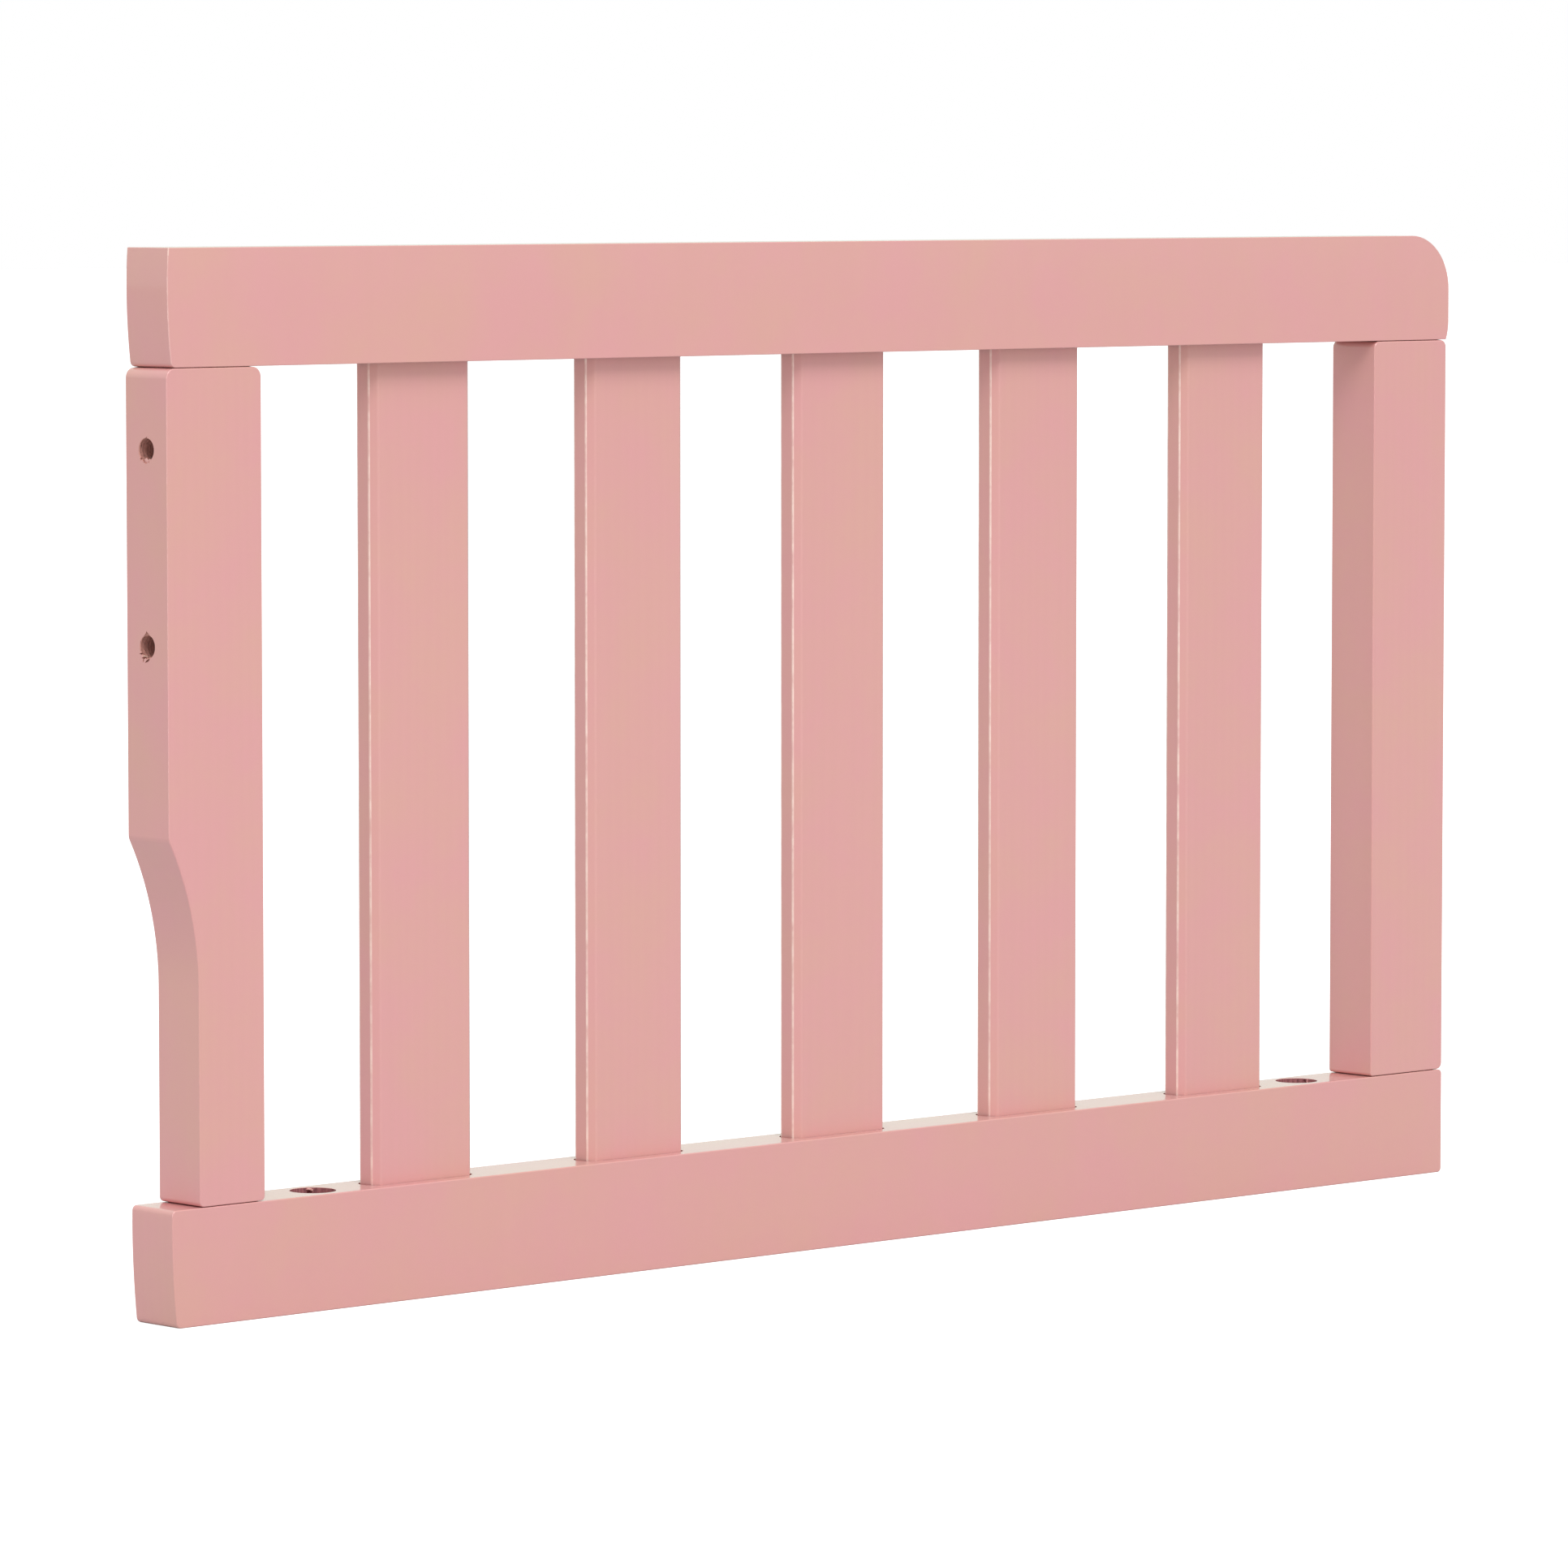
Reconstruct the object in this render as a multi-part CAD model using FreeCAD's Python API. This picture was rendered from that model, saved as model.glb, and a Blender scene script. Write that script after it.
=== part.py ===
import FreeCAD, Part
import os

os.makedirs("parts", exist_ok=True)

# Short wooden guard rail for a toddler bed. Millimetres.
# X runs along the rail, Y through its thickness (-Y is the front), Z up.
# The origin is the middle of the footprint, on the underside.

# Overall sizes
overall_length = 611.3
overall_height = 352.1
board_thickness = 21.5

# Rails
top_rail_height = 38.8
bottom_rail_height = 38.9
end_setback = 0.5             # left ends of the rails stand this far inside the left post
top_rail_overhang = 1.3       # right end of the top rail stands this far past the right post
top_corner_radius = 20.0      # large corner at the top rail's right end
rail_corner_radius = 1.6      # other corners of the rails, seen from the front
under_turn_height = 7.0       # the top rail's right end curves back in over this height

# The left ends of the rails are sanded to a slight swell
top_rail_low_fall = 1.6       # how far the end falls back at its low edge
top_rail_high_fall = 0.5      # and at its high edge
top_rail_swell_drop = 13.0    # from the rail's top down to the fullest point
bottom_rail_low_fall = 1.8
bottom_rail_high_fall = 0.1
bottom_rail_swell_drop = 6.0

# Posts
left_post_width = 39.4
right_post_width = 39.0
left_post_top_radius = 3.3
left_post_foot_radius = 1.6
right_post_top_radius = 3.0
right_post_outer_foot_radius = 2.4
right_post_inner_foot_radius = 1.2

# Notch in the left post's outer edge
notch_depth = 12.1
notch_radius = 108.0
notch_tangent_height = 110.0  # the curve meets the straight part here, above the underside
notch_corner_radius = 4.0

# Slats
slat_count = 5
slat_width = 43.5
slat_thickness = 10.6
slat_chamfer = 2.3
slat_edge_radius = 0.6
end_gap = 52.0                # clear space between a post and the slat beside it

# Mortises that take the slats
mortise_depth = 10.0
mortise_side_clearance = 0.2
mortise_corner_clearance = 0.15   # least room between a slat's chamfer and the round mortise end
mortise_floor_clearance = 0.5

# Dowels that join posts to rails
dowel_diameter = 8.0
dowel_length = 36.0
dowel_inset = 8.0             # from a post's edge to the dowel's axis
dowel_radial_clearance = 0.1
dowel_end_clearance = 0.5
dowel_chamfer = 1.0

# Bolt holes through the left post, along X
post_bolt_diameter = 7.4
post_bolt_spacing = 64.0
post_bolt_drop = 58.75        # middle of the pair, below the post's top

# Bolt holes down through the bottom rail
rail_bolt_diameter = 7.4
rail_bolt_inset = 68.0        # from the bottom rail's ends
counterbore_diameter = 15.5
counterbore_depth = 20.0

# Sanded edges
arris_radius = 0.8
post_arris_radius = 0.6

# Places worked out from the sizes above
left_x = -overall_length / 2
right_x = overall_length / 2
front_y = -board_thickness / 2
post_foot_z = bottom_rail_height
post_top_z = overall_height - top_rail_height
right_post_outer_x = right_x - top_rail_overhang
left_post_inner_x = left_x + left_post_width
right_post_inner_x = right_post_outer_x - right_post_width
slat_span = right_post_inner_x - left_post_inner_x - 2 * end_gap
slat_pitch = (slat_span - slat_width) / (slat_count - 1)
first_slat_x = left_post_inner_x + end_gap + slat_width / 2
slat_centres = [first_slat_x + i * slat_pitch for i in range(slat_count)]
slat_reach = mortise_depth - mortise_floor_clearance
tiny = 0.001


def at(x, z):
    return FreeCAD.Vector(x, front_y, z)


def line(start, end):
    return Part.LineSegment(at(*start), at(*end)).toShape()


def arc(start, middle, end):
    return Part.Arc(at(*start), at(*middle), at(*end)).toShape()


def board(edges):
    """A board with the given outline in the X-Z plane."""
    face = Part.Face(Part.Wire(edges))
    return face.extrude(FreeCAD.Vector(0, board_thickness, 0))


def round_corner(shape, x, z, radius):
    """Rounds the corner that runs through the board's thickness at x, z."""
    picked = [
        edge for edge in shape.Edges
        if all(abs(v.X - x) < tiny and abs(v.Z - z) < tiny for v in edge.Vertexes)
    ]
    return shape.makeFillet(radius, picked)


def ease_faces(shape, radius):
    """Rounds every edge around the front face and the back face."""
    half = board_thickness / 2
    picked = [
        edge for edge in shape.Edges
        if all(abs(abs(v.Y) - half) < tiny for v in edge.Vertexes)
        and abs(edge.Vertexes[0].Y - edge.Vertexes[-1].Y) < tiny
    ]
    return shape.makeFillet(radius, picked)


def swollen_end(low_z, high_z, low_fall, high_fall, drop):
    """Low, fullest and high point of a rail's left end."""
    fullest_x = left_x + end_setback
    low = (fullest_x + low_fall, low_z)
    fullest = (fullest_x, high_z - drop)
    high = (fullest_x + high_fall, high_z)
    return low, fullest, high


def cylinder(diameter, length, x, y, z, direction):
    return Part.makeCylinder(diameter / 2, length, FreeCAD.Vector(x, y, z), direction)


def up():
    return FreeCAD.Vector(0, 0, 1)


def mortise_straight(radius):
    """Distance between the centres of a mortise's round ends, so that the slat's corners clear them."""
    half_x = slat_width / 2
    half_y = slat_thickness / 2
    corners = [(half_x, half_y - slat_chamfer), (half_x - slat_chamfer, half_y)]
    needed = [x - (radius ** 2 - y ** 2) ** 0.5 for x, y in corners]
    return 2 * (max(needed) + mortise_corner_clearance)


def mortises(mouth_z, inward):
    """One round-ended pocket for each slat, cut from mouth_z in the direction inward (+1 is up)."""
    width = slat_thickness + 2 * mortise_side_clearance
    radius = width / 2
    straight = mortise_straight(radius)
    low_z = mouth_z if inward > 0 else mouth_z - mortise_depth
    pockets = []
    for centre in slat_centres:
        corner = FreeCAD.Vector(centre - straight / 2, -radius, low_z)
        pocket = Part.makeBox(straight, width, mortise_depth, corner)
        for end in (-1, 1):
            x = centre + end * straight / 2
            pocket = pocket.fuse(cylinder(width, mortise_depth, x, 0, low_z, up()))
        pockets.append(pocket.removeSplitter())
    return pockets


def post_dowel_axes():
    """X of each dowel, by name, where the posts meet the rails."""
    foot_x = left_x + notch_depth
    return {
        "upper_left_outer": left_x + dowel_inset,
        "upper_left_inner": left_post_inner_x - dowel_inset,
        "upper_right_inner": right_post_inner_x + dowel_inset,
        "upper_right_outer": right_post_outer_x - dowel_inset,
        "lower_left_outer": foot_x + dowel_inset,
        "lower_left_inner": left_post_inner_x - dowel_inset,
        "lower_right_inner": right_post_inner_x + dowel_inset,
        "lower_right_outer": right_post_outer_x - dowel_inset,
    }


def joint_z(dowel_name):
    return post_top_z if dowel_name.startswith("upper") else post_foot_z


def dowel_holes(names):
    """Drilled holes that cross the joint, a little wider and deeper than the dowels."""
    diameter = dowel_diameter + 2 * dowel_radial_clearance
    length = dowel_length + 2 * dowel_end_clearance
    axes = post_dowel_axes()
    return [
        cylinder(diameter, length, axes[name], 0, joint_z(name) - length / 2, up())
        for name in names
    ]


def dowel(name):
    x = post_dowel_axes()[name]
    pin = cylinder(dowel_diameter, dowel_length, x, 0, joint_z(name) - dowel_length / 2, up())
    rims = [edge for edge in pin.Edges if isinstance(edge.Curve, Part.Circle)]
    return pin.makeChamfer(dowel_chamfer, rims)


def cut_all(shape, tools):
    for tool in tools:
        shape = shape.cut(tool)
    return shape


def top_rail():
    low_left, full_left, high_left = swollen_end(
        post_top_z, overall_height,
        top_rail_low_fall, top_rail_high_fall, top_rail_swell_drop)
    low_right = (right_post_outer_x, post_top_z)
    under_middle = (right_x - top_rail_overhang / 4, post_top_z + under_turn_height / 2)
    under_turn = (right_x, post_top_z + under_turn_height)
    turn_right = (right_x, overall_height - top_corner_radius)
    slant = top_corner_radius * (1 - 0.5 ** 0.5)
    turn_middle = (right_x - slant, overall_height - slant)
    turn_top = (right_x - top_corner_radius, overall_height)
    rail = board([
        arc(low_left, full_left, high_left),
        line(high_left, turn_top),
        arc(turn_top, turn_middle, turn_right),
        line(turn_right, under_turn),
        arc(under_turn, under_middle, low_right),
        line(low_right, low_left),
    ])
    rail = round_corner(rail, *low_left, rail_corner_radius)
    rail = round_corner(rail, *high_left, arris_radius)
    rail = round_corner(rail, *low_right, arris_radius)
    rail = ease_faces(rail, arris_radius)
    rail = cut_all(rail, mortises(post_top_z, 1))
    upper = [name for name in post_dowel_axes() if name.startswith("upper")]
    return cut_all(rail, dowel_holes(upper))


def rail_bolt_axes():
    return [
        left_x + end_setback + rail_bolt_inset,
        right_post_outer_x - rail_bolt_inset,
    ]


def bottom_rail():
    low_left, full_left, high_left = swollen_end(
        0, bottom_rail_height,
        bottom_rail_low_fall, bottom_rail_high_fall, bottom_rail_swell_drop)
    low_right = (right_post_outer_x, 0)
    high_right = (right_post_outer_x, bottom_rail_height)
    rail = board([
        arc(low_left, full_left, high_left),
        line(high_left, high_right),
        line(high_right, low_right),
        line(low_right, low_left),
    ])
    for corner in (low_left, high_left, low_right, high_right):
        rail = round_corner(rail, *corner, rail_corner_radius)
    rail = ease_faces(rail, arris_radius)
    rail = cut_all(rail, mortises(bottom_rail_height, -1))
    for x in rail_bolt_axes():
        rail = rail.cut(cylinder(rail_bolt_diameter, bottom_rail_height, x, 0, 0, up()))
        seat_z = bottom_rail_height - counterbore_depth
        rail = rail.cut(cylinder(counterbore_diameter, counterbore_depth, x, 0, seat_z, up()))
    lower = [name for name in post_dowel_axes() if name.startswith("lower")]
    return cut_all(rail, dowel_holes(lower))


def post_bolt_heights():
    middle = post_top_z - post_bolt_drop
    return [middle - post_bolt_spacing / 2, middle + post_bolt_spacing / 2]


def left_post():
    foot_x = left_x + notch_depth
    centre_x = foot_x - notch_radius
    reach = left_x - centre_x
    rise = (notch_radius ** 2 - reach ** 2) ** 0.5
    curve_top = (left_x, notch_tangent_height + rise)
    curve_foot = (foot_x, notch_tangent_height)
    half_rise = rise / 2
    bulge = (notch_radius ** 2 - half_rise ** 2) ** 0.5
    curve_middle = (centre_x + bulge, notch_tangent_height + half_rise)
    foot_left = (foot_x, post_foot_z)
    foot_right = (left_post_inner_x, post_foot_z)
    top_right = (left_post_inner_x, post_top_z)
    top_left = (left_x, post_top_z)
    post = board([
        line(foot_left, curve_foot),
        arc(curve_foot, curve_middle, curve_top),
        line(curve_top, top_left),
        line(top_left, top_right),
        line(top_right, foot_right),
        line(foot_right, foot_left),
    ])
    post = round_corner(post, *curve_top, notch_corner_radius)
    for corner in (foot_left, foot_right):
        post = round_corner(post, *corner, left_post_foot_radius)
    for corner in (top_left, top_right):
        post = round_corner(post, *corner, left_post_top_radius)
    post = ease_faces(post, post_arris_radius)
    along = FreeCAD.Vector(1, 0, 0)
    for z in post_bolt_heights():
        post = post.cut(cylinder(post_bolt_diameter, left_post_width, left_x, 0, z, along))
    names = [name for name in post_dowel_axes() if "_left_" in name]
    return cut_all(post, dowel_holes(names))


def right_post():
    foot_left = (right_post_inner_x, post_foot_z)
    foot_right = (right_post_outer_x, post_foot_z)
    top_left = (right_post_inner_x, post_top_z)
    top_right = (right_post_outer_x, post_top_z)
    post = board([
        line(foot_left, top_left),
        line(top_left, top_right),
        line(top_right, foot_right),
        line(foot_right, foot_left),
    ])
    post = round_corner(post, *foot_left, right_post_inner_foot_radius)
    post = round_corner(post, *foot_right, right_post_outer_foot_radius)
    for corner in (top_left, top_right):
        post = round_corner(post, *corner, right_post_top_radius)
    post = ease_faces(post, post_arris_radius)
    names = [name for name in post_dowel_axes() if "_right_" in name]
    return cut_all(post, dowel_holes(names))


def slat(centre):
    low_z = bottom_rail_height - slat_reach
    high_z = post_top_z + slat_reach
    half_x = slat_width / 2
    half_y = slat_thickness / 2
    inner_x = half_x - slat_chamfer
    inner_y = half_y - slat_chamfer
    section = [
        (-half_x, -inner_y), (-inner_x, -half_y), (inner_x, -half_y), (half_x, -inner_y),
        (half_x, inner_y), (inner_x, half_y), (-inner_x, half_y), (-half_x, inner_y),
    ]
    points = [FreeCAD.Vector(centre + x, y, low_z) for x, y in section]
    face = Part.Face(Part.makePolygon(points + points[:1]))
    bar = face.extrude(FreeCAD.Vector(0, 0, high_z - low_z))
    long_edges = [
        edge for edge in bar.Edges
        if abs(edge.Vertexes[0].Z - edge.Vertexes[-1].Z) > slat_width
    ]
    return bar.makeFillet(slat_edge_radius, long_edges)


def save(shape, node):
    shape.exportStep("parts/" + node + ".step")
    print(node, round(shape.Volume, 1), shape.isValid(), len(shape.Solids))


save(top_rail(), "top_rail")
save(bottom_rail(), "bottom_rail")
save(left_post(), "left_post")
save(right_post(), "right_post")
for number, centre in enumerate(slat_centres, 1):
    save(slat(centre), "slat_" + str(number))
for name in post_dowel_axes():
    save(dowel(name), "dowel_" + name)
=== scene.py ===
import math

import bmesh
import bpy
from mathutils import Matrix, Vector, noise


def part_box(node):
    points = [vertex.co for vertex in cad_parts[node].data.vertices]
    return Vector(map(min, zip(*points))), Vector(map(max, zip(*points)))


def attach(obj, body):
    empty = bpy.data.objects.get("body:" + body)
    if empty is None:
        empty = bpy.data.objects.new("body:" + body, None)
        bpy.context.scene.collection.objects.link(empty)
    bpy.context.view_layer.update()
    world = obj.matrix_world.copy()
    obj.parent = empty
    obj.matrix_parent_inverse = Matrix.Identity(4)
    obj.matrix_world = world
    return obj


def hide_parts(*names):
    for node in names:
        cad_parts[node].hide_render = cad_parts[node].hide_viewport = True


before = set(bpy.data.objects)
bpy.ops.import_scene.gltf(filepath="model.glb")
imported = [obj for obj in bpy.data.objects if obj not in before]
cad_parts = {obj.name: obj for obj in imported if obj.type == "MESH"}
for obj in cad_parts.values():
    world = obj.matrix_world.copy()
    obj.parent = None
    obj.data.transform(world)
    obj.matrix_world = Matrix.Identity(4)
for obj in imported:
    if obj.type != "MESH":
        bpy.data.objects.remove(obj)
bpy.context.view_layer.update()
mm = 0.001

# Places taken from the frame
topLow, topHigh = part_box("top_rail")
bottomLow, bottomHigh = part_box("bottom_rail")
leftLow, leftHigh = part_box("left_post")
rightLow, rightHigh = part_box("right_post")
frontY, backY = topLow.y, topHigh.y
boardThickness = backY - frontY
slatNames = sorted(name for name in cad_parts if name.startswith("slat_"))
dowelNames = sorted(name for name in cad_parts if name.startswith("dowel_"))
print("frame loaded:", len(slatNames), "slats,", len(dowelNames), "dowels")


# Small helpers for the materials
def addNode(tree, kind, x, y, inputs=None, **settings):
    node = tree.nodes.new(kind)
    node.location = (x, y)
    for name, value in settings.items():
        setattr(node, name, value)
    for name, value in (inputs or {}).items():
        node.inputs[name].default_value = value
    return node


def setRamp(node, stops):
    ramp = node.color_ramp
    while len(ramp.elements) < len(stops):
        ramp.elements.new(0.5)
    for element, (position, value) in zip(ramp.elements, stops):
        element.position = position
        element.color = (*value, 1) if isinstance(value, tuple) else (value, value, value, 1)


def newGroup(name, inputs, outputs):
    tree = bpy.data.node_groups.new(name, "ShaderNodeTree")
    for label, kind, value in inputs:
        socket = tree.interface.new_socket(label, in_out="INPUT", socket_type="NodeSocket" + kind)
        if value is not None:
            socket.default_value = value
    for label, kind in outputs:
        tree.interface.new_socket(label, in_out="OUTPUT", socket_type="NodeSocket" + kind)
    entry = addNode(tree, "NodeGroupInput", -900, 0)
    leave = addNode(tree, "NodeGroupOutput", 700, 0)
    return tree, entry, leave


def useGroup(tree, group, x, y, inputs=None):
    node = addNode(tree, "ShaderNodeGroup", x, y, node_tree=group)
    for name, value in (inputs or {}).items():
        node.inputs[name].default_value = value
    return node


def mixValue(tree, x, y, low, high):
    return addNode(tree, "ShaderNodeMapRange", x, y, {"To Min": low, "To Max": high})


# Long wood grain. The vector arrives stretched so that Z runs along the board.
def buildWoodGrain():
    tree, entry, leave = newGroup(
        "woodGrain",
        [("Vector", "Vector", None), ("Ring Scale", "Float", 60.0), ("Pore Scale", "Float", 900.0)],
        [("Grain", "Float"), ("Pores", "Float")])
    link = tree.links.new
    bend = addNode(tree, "ShaderNodeTexNoise", -650, 200, {"Detail": 2.0, "Roughness": 0.5})
    rings = addNode(tree, "ShaderNodeTexWave", -350, 200,
                    {"Distortion": 6.0, "Detail": 3.0, "Detail Scale": 1.2},
                    wave_type="RINGS", rings_direction="Z")
    pores = addNode(tree, "ShaderNodeTexNoise", -350, -200, {"Detail": 3.0, "Roughness": 0.65})
    link(entry.outputs["Vector"], bend.inputs["Vector"])
    link(entry.outputs["Ring Scale"], bend.inputs["Scale"])
    link(entry.outputs["Vector"], rings.inputs["Vector"])
    link(entry.outputs["Ring Scale"], rings.inputs["Scale"])
    link(entry.outputs["Vector"], pores.inputs["Vector"])
    link(entry.outputs["Pore Scale"], pores.inputs["Scale"])
    blend = addNode(tree, "ShaderNodeMix", 50, 200, {"Factor": 0.5}, data_type="FLOAT")
    link(rings.outputs["Fac"], blend.inputs["A"])
    link(bend.outputs["Fac"], blend.inputs["B"])
    narrow = addNode(tree, "ShaderNodeMapRange", 50, -200,
                     {"From Min": 0.52, "From Max": 0.72}, clamp=True)
    link(pores.outputs["Fac"], narrow.inputs["Value"])
    link(blend.outputs["Result"], leave.inputs["Grain"])
    link(narrow.outputs["Result"], leave.inputs["Pores"])
    return tree


# What a sprayed coat leaves: slow mottling, orange peel, and dust caught in it
def buildPaintFilm():
    tree, entry, leave = newGroup(
        "paintFilm",
        [("Vector", "Vector", None), ("Peel Scale", "Float", 420.0), ("Mottle Scale", "Float", 26.0)],
        [("Mottle", "Float"), ("Peel", "Float"), ("Nibs", "Float")])
    link = tree.links.new
    mottle = addNode(tree, "ShaderNodeTexNoise", -600, 300, {"Detail": 4.0, "Roughness": 0.6})
    peel = addNode(tree, "ShaderNodeTexNoise", -600, 50, {"Detail": 1.0, "Roughness": 0.4})
    nibs = addNode(tree, "ShaderNodeTexVoronoi", -600, -250, {"Scale": 260.0, "Randomness": 1.0})
    link(entry.outputs["Vector"], mottle.inputs["Vector"])
    link(entry.outputs["Mottle Scale"], mottle.inputs["Scale"])
    link(entry.outputs["Vector"], peel.inputs["Vector"])
    link(entry.outputs["Peel Scale"], peel.inputs["Scale"])
    link(entry.outputs["Vector"], nibs.inputs["Vector"])
    small = addNode(tree, "ShaderNodeMapRange", -300, -250,
                    {"From Min": 0.13, "From Max": 0.04}, clamp=True)
    link(nibs.outputs["Distance"], small.inputs["Value"])
    rare = addNode(tree, "ShaderNodeMapRange", -300, -450,
                   {"From Min": 0.9, "From Max": 0.97}, clamp=True)
    split = addNode(tree, "ShaderNodeSeparateColor", -450, -450)
    link(nibs.outputs["Color"], split.inputs["Color"])
    link(split.outputs["Red"], rare.inputs["Value"])
    both = addNode(tree, "ShaderNodeMath", 0, -300, operation="MULTIPLY")
    link(small.outputs["Result"], both.inputs[0])
    link(rare.outputs["Result"], both.inputs[1])
    link(mottle.outputs["Fac"], leave.inputs["Mottle"])
    link(peel.outputs["Fac"], leave.inputs["Peel"])
    link(both.outputs["Value"], leave.inputs["Nibs"])
    return tree


# A painted highlight along the rounded arrises, standing in for the gloss catching the light there; the mask
# is broken up so that the line isn't even
def buildPaintedEdgeHighlight():
    tree, entry, leave = newGroup(
        "edgeRub",
        [("Vector", "Vector", None), ("Break Scale", "Float", 170.0), ("Amount", "Float", 0.8)],
        [("Rub", "Float")])
    link = tree.links.new
    mask = addNode(tree, "ShaderNodeAttribute", -650, 200, attribute_name="edgeMask")
    patches = addNode(tree, "ShaderNodeTexNoise", -650, -100, {"Detail": 3.0, "Roughness": 0.6})
    link(entry.outputs["Vector"], patches.inputs["Vector"])
    link(entry.outputs["Break Scale"], patches.inputs["Scale"])
    level = addNode(tree, "ShaderNodeMapRange", -350, -100,
                    {"From Min": 0.3, "From Max": 0.62, "To Min": 0.3, "To Max": 1.0})
    link(patches.outputs["Fac"], level.inputs["Value"])
    both = addNode(tree, "ShaderNodeMath", -100, 100, operation="MULTIPLY")
    amount = addNode(tree, "ShaderNodeMath", 150, 100, operation="MULTIPLY")
    link(mask.outputs["Fac"], both.inputs[0])
    link(level.outputs["Result"], both.inputs[1])
    link(both.outputs["Value"], amount.inputs[0])
    link(entry.outputs["Amount"], amount.inputs[1])
    link(amount.outputs["Value"], leave.inputs["Rub"])
    return tree


woodGrain = buildWoodGrain()
paintFilm = buildPaintFilm()
edgeRub = buildPaintedEdgeHighlight()

pinkPaint = {
    "rosy": (0.706, 0.328, 0.329),      # where the coat lies thicker
    "sandy": (0.690, 0.354, 0.305),
    "grainColour": (0.674, 0.328, 0.302),
    # painted highlight: the pale cream that the rounded edges are lifted to
    "edge": (0.930, 0.720, 0.630),
    "grainShow": 0.35,                  # how much of the grain's colour comes through
    "roughLow": 0.36,
    "roughHigh": 0.46,
    "coat": 0.9,
    "coatRoughness": 0.07,
    "peelHeight": 0.25,                 # orange peel against the dust nibs' height of 1
    "poreHeight": -0.35,
    "bumpStrength": 0.2,
    "bumpDistance": 0.05 * mm,
}

# Pale and dark colour of each, and how deep its pores look
rawWoods = {
    "tornWood": ((0.60, 0.29, 0.24), (0.45, 0.205, 0.17), 0.6),
    "boreWood": ((0.44, 0.165, 0.170), (0.31, 0.100, 0.115), 0.6),
    "splinterWood": ((0.86, 0.66, 0.52), (0.70, 0.46, 0.34), 0.5),
    "dowelWood": ((0.80, 0.60, 0.40), (0.66, 0.44, 0.27), 0.4),
}
rawWoodFinish = {"squeeze": 0.1, "pitShade": 0.45, "roughLow": 0.72, "roughHigh": 0.92,
                 "bumpDistance": 0.2 * mm}


def newMaterial(name):
    material = bpy.data.materials.new(name)
    material.use_nodes = True
    tree = material.node_tree
    tree.nodes.clear()
    output = addNode(tree, "ShaderNodeOutputMaterial", 900, 0)
    shader = addNode(tree, "ShaderNodeBsdfPrincipled", 600, 0)
    tree.links.new(shader.outputs["BSDF"], output.inputs["Surface"])
    return material, tree, shader


# Paint over wood. The grain is turned to Z and squeezed along its length by a Mapping node
def makePaint(name, turn):
    material, tree, shader = newMaterial(name)
    link = tree.links.new
    place = addNode(tree, "ShaderNodeTexCoord", -1300, 0)
    along = addNode(tree, "ShaderNodeMapping", -1100, 300, {"Rotation": turn, "Scale": (1, 1, 0.06)})
    link(place.outputs["Object"], along.inputs["Vector"])
    grain = useGroup(tree, woodGrain, -850, 300, {"Ring Scale": 70.0, "Pore Scale": 1100.0})
    film = useGroup(tree, paintFilm, -850, 0)
    edgeShine = useGroup(tree, edgeRub, -850, -300)
    link(along.outputs["Vector"], grain.inputs["Vector"])
    link(place.outputs["Object"], film.inputs["Vector"])
    link(place.outputs["Object"], edgeShine.inputs["Vector"])
    body = addNode(tree, "ShaderNodeValToRGB", -550, 200)
    setRamp(body, [(0.35, pinkPaint["sandy"]), (0.65, pinkPaint["rosy"])])
    link(film.outputs["Mottle"], body.inputs["Fac"])
    streak = addNode(tree, "ShaderNodeMix", -250, 250, data_type="RGBA")
    streakLevel = addNode(tree, "ShaderNodeMath", -500, 450, {1: pinkPaint["grainShow"]},
                          operation="MULTIPLY")
    link(grain.outputs["Grain"], streakLevel.inputs[0])
    link(streakLevel.outputs["Value"], streak.inputs["Factor"])
    link(body.outputs["Color"], streak.inputs["A"])
    streak.inputs["B"].default_value = (*pinkPaint["grainColour"], 1)
    # painted highlight: where the edge mask is, the base colour is lifted towards pale cream
    edge = addNode(tree, "ShaderNodeMix", 0, 200, data_type="RGBA")
    link(edgeShine.outputs["Rub"], edge.inputs["Factor"])
    link(streak.outputs["Result"], edge.inputs["A"])
    edge.inputs["B"].default_value = (*pinkPaint["edge"], 1)
    link(edge.outputs["Result"], shader.inputs["Base Color"])
    rough = mixValue(tree, 0, -50, pinkPaint["roughLow"], pinkPaint["roughHigh"])
    link(film.outputs["Mottle"], rough.inputs["Value"])
    link(rough.outputs["Result"], shader.inputs["Roughness"])
    shader.inputs["IOR"].default_value = 1.5
    shader.inputs["Coat Weight"].default_value = pinkPaint["coat"]
    shader.inputs["Coat Roughness"].default_value = pinkPaint["coatRoughness"]
    lift = addNode(tree, "ShaderNodeMath", -500, -150, {1: pinkPaint["peelHeight"]},
                   operation="MULTIPLY")
    link(film.outputs["Peel"], lift.inputs[0])
    nibLift = addNode(tree, "ShaderNodeMath", -300, -250, operation="ADD")
    link(lift.outputs["Value"], nibLift.inputs[0])
    link(film.outputs["Nibs"], nibLift.inputs[1])
    poreDrop = addNode(tree, "ShaderNodeMath", -300, -400, {1: pinkPaint["poreHeight"]},
                       operation="MULTIPLY")
    link(grain.outputs["Pores"], poreDrop.inputs[0])
    height = addNode(tree, "ShaderNodeMath", -100, -300, operation="ADD")
    link(nibLift.outputs["Value"], height.inputs[0])
    link(poreDrop.outputs["Value"], height.inputs[1])
    bump = addNode(tree, "ShaderNodeBump", 200, -300,
                   {"Strength": pinkPaint["bumpStrength"], "Distance": pinkPaint["bumpDistance"]})
    link(height.outputs["Value"], bump.inputs["Height"])
    link(bump.outputs["Normal"], shader.inputs["Normal"])
    return material


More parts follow.
